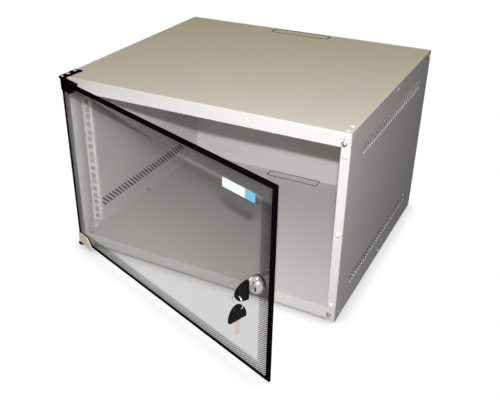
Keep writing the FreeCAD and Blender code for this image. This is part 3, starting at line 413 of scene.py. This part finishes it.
# ---------------------------------------------------------------------------
# The glass's border is black enamel, screen printed on its front and fired in: a
# solid band that laps over the ground edge, then rows of dots that shrink inwards.
# The pane's edges are measured with the door turned shut about its hinge.
hinge = next(j for j in frame["record"]["behaviour"]["joints"] if j["name"] == "door_hinge")
pivot = Vector(hinge["pos_m"])
door_ajar = -math.radians(hinge["range_deg"][0])
door_turn = Matrix.Translation(pivot) @ Matrix.Rotation(-door_ajar, 4, "Z")
door_shut = door_turn.inverted()
pane_points = [door_shut @ point.co for point in nodes["door_glass"].data.vertices]
glass_left, glass_right = min(p.x for p in pane_points), max(p.x for p in pane_points)
glass_front, glass_back = min(p.y for p in pane_points), max(p.y for p in pane_points)
glass_low, glass_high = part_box("door_glass")[0].z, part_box("door_glass")[1].z
ink_off = 0.00004
ink_thick = 0.00004
band = 0.007
dots_width = 0.018
dot_pitch = 0.0040
largest_dot, smallest_dot = 0.00126, 0.00100

enamel = finish("black_enamel", (0.003, 0.002, 0.003), drift=0.1, roughness=0.45, pebble=0.0, gloss=0.0)


def door_object(name, mesh, material):
    """Closed mesh drawn in the shut door's plane, put where the door stands."""
    mesh.transform(door_turn)
    piece = bpy.data.objects.new(name, mesh)
    scene.collection.objects.link(piece)
    piece.data.materials.clear()
    piece.data.materials.append(material)
    return piece


def band_mesh():
    """Rim of ink, a closed frame of L section over the front and round the edge."""
    form = bmesh.new()
    corners = [((glass_left, glass_low), (1, 1)), ((glass_right, glass_low), (-1, 1)),
               ((glass_right, glass_high), (-1, -1)), ((glass_left, glass_high), (1, -1))]
    inner, outer = -ink_off, -ink_off - ink_thick
    section = [(band, glass_front + inner), (inner, glass_front + inner), (inner, glass_back),
               (outer, glass_back), (outer, glass_front + outer), (band, glass_front + outer)]
    loops = []
    for inset, y in section:
        loop = [(x + in_x * inset, y, z - pivot.z + in_z * inset) for (x, z), (in_x, in_z) in corners]
        loops.append([form.verts.new(point) for point in loop])
    for near, far in zip(loops, loops[1:] + loops[:1]):
        for i in range(4):
            j = (i + 1) % 4
            form.faces.new((near[i], near[j], far[j], far[i]))
    bmesh.ops.recalc_face_normals(form, faces=form.faces)
    mesh = bpy.data.meshes.new("border_band")
    form.to_mesh(mesh)
    form.free()
    return mesh


border_band = door_object("border_band", band_mesh(), enamel)
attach(border_band, "door")


def dots_tree():
    """Grid of points over the pane, kept only near its edge, each a disc that shrinks inwards."""
    group = node_group("halftone_dots", "GeometryNodeTree",
                       [("Geometry", "Geometry", None),
                        ("Width", "Float", glass_right - glass_left),
                        ("Height", "Float", glass_high - glass_low),
                        ("Band", "Float", band), ("Fade", "Float", dots_width),
                        ("Pitch", "Float", dot_pitch), ("Largest", "Float", largest_dot),
                        ("Smallest", "Float", smallest_dot), ("Thickness", "Float", ink_thick),
                        ("Ink", "Material", None)],
                       [("Geometry", "Geometry")])
    n, link = group.nodes, group.links.new
    lap = 0.05  # how far the first dots may lap on the band, as a share of the fade
    disc_sides = 8

    def work(operation, *values):
        return reckon(group, operation, *values)

    given = n.new("NodeGroupInput").outputs
    half_pitch = work("MULTIPLY", given["Pitch"], 0.5)
    rows = work("DIVIDE", given["Height"], half_pitch)
    grid = n.new("GeometryNodeMeshGrid")
    link(given["Width"], grid.inputs["Size X"])
    link(given["Height"], grid.inputs["Size Y"])
    link(work("DIVIDE", given["Width"], given["Pitch"]), grid.inputs["Vertices X"])
    link(rows, grid.inputs["Vertices Y"])
    points = n.new("GeometryNodeMeshToPoints")
    link(grid.outputs["Mesh"], points.inputs["Mesh"])
    place = n.new("GeometryNodeInputPosition")
    split = n.new("ShaderNodeSeparateXYZ")
    link(place.outputs[0], split.inputs[0])
    half_width = work("MULTIPLY", given["Width"], 0.5)
    half_height = work("MULTIPLY", given["Height"], 0.5)

    # Every other row stands half a pitch aside.
    spacing = work("DIVIDE", given["Height"], work("SUBTRACT", work("ROUND", rows), 1.0))
    row = work("ROUND", work("DIVIDE", work("ADD", split.outputs["Y"], half_height), spacing))
    aside = n.new("ShaderNodeCombineXYZ")
    link(work("MULTIPLY", work("MODULO", row, 2.0), half_pitch), aside.inputs["X"])
    staggered = n.new("GeometryNodeSetPosition")
    link(points.outputs[0], staggered.inputs["Geometry"])
    link(aside.outputs[0], staggered.inputs["Offset"])

    # Inward runs from nought at the band to one where the dots end.
    side = work("SUBTRACT", half_width, work("ABSOLUTE", split.outputs["X"]))
    ends = work("SUBTRACT", half_height, work("ABSOLUTE", split.outputs["Y"]))
    edge = work("MINIMUM", side, ends)
    inward = work("DIVIDE", work("SUBTRACT", edge, given["Band"]), given["Fade"])
    drop = work("MAXIMUM", work("LESS_THAN", inward, -lap), work("GREATER_THAN", inward, 1.0))
    keep = n.new("GeometryNodeDeleteGeometry")
    keep.domain = "POINT"
    link(staggered.outputs[0], keep.inputs["Geometry"])
    link(drop, keep.inputs["Selection"])

    disc = n.new("GeometryNodeMeshCylinder")
    disc.inputs["Vertices"].default_value = disc_sides
    disc.inputs["Radius"].default_value = 1.0
    link(given["Thickness"], disc.inputs["Depth"])
    radius = ramp(group, inward, 0.0, 1.0, given["Largest"], given["Smallest"])
    size = n.new("ShaderNodeCombineXYZ")
    link(radius, size.inputs["X"])
    link(radius, size.inputs["Y"])
    size.inputs["Z"].default_value = 1.0
    copies = n.new("GeometryNodeInstanceOnPoints")
    link(keep.outputs[0], copies.inputs["Points"])
    link(disc.outputs["Mesh"], copies.inputs["Instance"])
    link(size.outputs[0], copies.inputs["Scale"])
    real = n.new("GeometryNodeRealizeInstances")
    link(copies.outputs[0], real.inputs[0])
    inked = n.new("GeometryNodeSetMaterial")
    link(real.outputs[0], inked.inputs["Geometry"])
    link(given["Ink"], inked.inputs["Material"])
    result = n.new("NodeGroupOutput")
    link(inked.outputs[0], result.inputs[0])
    return group


def grown(name, group, settings):
    """Run a geometry tree once and return the mesh it makes."""
    seed = bpy.data.objects.new(name + "_seed", bpy.data.meshes.new(name + "_seed"))
    scene.collection.objects.link(seed)
    modifier = seed.modifiers.new(name, "NODES")
    modifier.node_group = group
    inputs = [item for item in group.interface.items_tree if item.in_out == "INPUT"]
    sockets = {item.name: item.identifier for item in inputs}
    for key, value in settings.items():
        modifier[sockets[key]] = value
    graph = bpy.context.evaluated_depsgraph_get()
    mesh = bpy.data.meshes.new_from_object(seed.evaluated_get(graph))
    mesh.name = name
    bpy.data.objects.remove(seed)
    return mesh


dot_mesh = grown("border_dots", dots_tree(), {"Ink": enamel})
pane_middle = Vector(((glass_left + glass_right) / 2, glass_front - ink_off - ink_thick / 2,
                      (glass_low + glass_high) / 2 - pivot.z))
dot_mesh.transform(Matrix.Translation(pane_middle) @ Matrix.Rotation(math.radians(90), 4, "X"))
border_dots = door_object("border_dots", dot_mesh, enamel)
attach(border_dots, "door")

# ---------------------------------------------------------------------------
# A blank paper label is stuck to the front of the glass, high up near its free
# edge: white, with a pale blue end.
label_length, label_height = 0.066, 0.015
label_right, label_high = glass_right - 0.038, glass_high - 0.026
label_left, label_low = label_right - label_length, label_high - label_height
label_thick = 0.00012
label_corner, corner_steps = 0.0012, 4
blue_share, blue_blur = 0.30, 0.01
label_paper = bpy.data.materials.new("label_paper")
label_paper.use_nodes = True
tree = label_paper.node_tree
sheen = tree.nodes["Principled BSDF"]
sheen.inputs["Roughness"].default_value = 0.38
place = tree.nodes.new("ShaderNodeUVMap")
place.uv_map = "face"
split = tree.nodes.new("ShaderNodeSeparateXYZ")
tree.links.new(place.outputs[0], split.inputs[0])
fibres = tree.nodes.new("ShaderNodeTexNoise")
fibres.inputs["Scale"].default_value = 60.0
fibres.inputs["Detail"].default_value = 4.0
tree.links.new(place.outputs[0], fibres.inputs["Vector"])
blue_start = 1 - blue_share
printed = ramp(tree, split.outputs["X"], blue_start - blue_blur, blue_start + blue_blur)
print_colour = tree.nodes.new("ShaderNodeMix")
print_colour.data_type = "RGBA"
print_colour.inputs["A"].default_value = (0.74, 0.82, 0.84, 1)
print_colour.inputs["B"].default_value = (0.12, 0.42, 0.62, 1)
tree.links.new(printed, print_colour.inputs["Factor"])
mottle = tree.nodes.new("ShaderNodeMix")
mottle.data_type = "RGBA"
mottle.blend_type = "MULTIPLY"
mottle.inputs["Factor"].default_value = 0.08
tree.links.new(print_colour.outputs["Result"], mottle.inputs["A"])
tree.links.new(fibres.outputs["Color"], mottle.inputs["B"])
tree.links.new(mottle.outputs["Result"], sheen.inputs["Base Color"])


def label_mesh():
    """Thin card with rounded corners, its face mapped from nought to one."""
    form = bmesh.new()
    left, right = label_left + label_corner, label_right - label_corner
    low, high = label_low + label_corner, label_high - label_corner
    outline = []
    for x, z, turn in ((right, low, -90), (right, high, 0), (left, high, 90), (left, low, 180)):
        for step in range(corner_steps + 1):
            angle = math.radians(turn + 90 * step / corner_steps)
            outline.append((x + label_corner * math.cos(angle), z + label_corner * math.sin(angle)))
    front = glass_front - ink_off - label_thick
    near = [form.verts.new((x, front, z - pivot.z)) for x, z in outline]
    far = [form.verts.new((x, front + label_thick, z - pivot.z)) for x, z in outline]
    form.faces.new(near)
    form.faces.new(far[::-1])
    count = len(outline)
    for i in range(count):
        j = (i + 1) % count
        form.faces.new((near[i], far[i], far[j], near[j]))
    bmesh.ops.recalc_face_normals(form, faces=form.faces)
    face = form.loops.layers.uv.new("face")
    for polygon in form.faces:
        for loop in polygon.loops:
            x, z = loop.vert.co.x, loop.vert.co.z + pivot.z
            loop[face].uv = ((x - label_left) / label_length, (z - label_low) / label_height)
    mesh = bpy.data.meshes.new("glass_label")
    form.to_mesh(mesh)
    form.free()
    return mesh


glass_label = door_object("glass_label", label_mesh(), label_paper)
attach(glass_label, "door")

# ---------------------------------------------------------------------------
# Lock and keys. Die cast body and plug in polished chrome, zinc nut and cam,
# nickel plated blades in moulded black heads, on a wire ring. Rubber gaskets
# keep the metal off the glass.
chrome = finish("lock_chrome", (0.50, 0.49, 0.49), drift=0.05, roughness=0.14, pebble=0.0, metallic=1.0)
dress(chrome, "lock_body", "lock_plug")
lock_zinc = finish("lock_zinc", (0.42, 0.42, 0.41), drift=0.2, roughness=0.36, pebble=0.1, metallic=1.0)
dress(lock_zinc, "lock_nut", "lock_cam")
key_nickel = finish("key_nickel", (0.66, 0.60, 0.48), drift=0.1, roughness=0.28, pebble=0.0, metallic=1.0)
dress(key_nickel, "key_blade", "spare_key_blade")
key_plastic = finish("key_plastic", (0.004, 0.004, 0.004), drift=0.2, roughness=0.16, pebble=0.03, gloss=0.04)
dress(key_plastic, "key_head", "spare_key_head")
ring_wire = finish("ring_wire", (0.62, 0.62, 0.62), drift=0.1, roughness=0.2, pebble=0.0, metallic=1.0)
dress(ring_wire, "key_ring")
dress(black_rubber, "lock_gaskets")
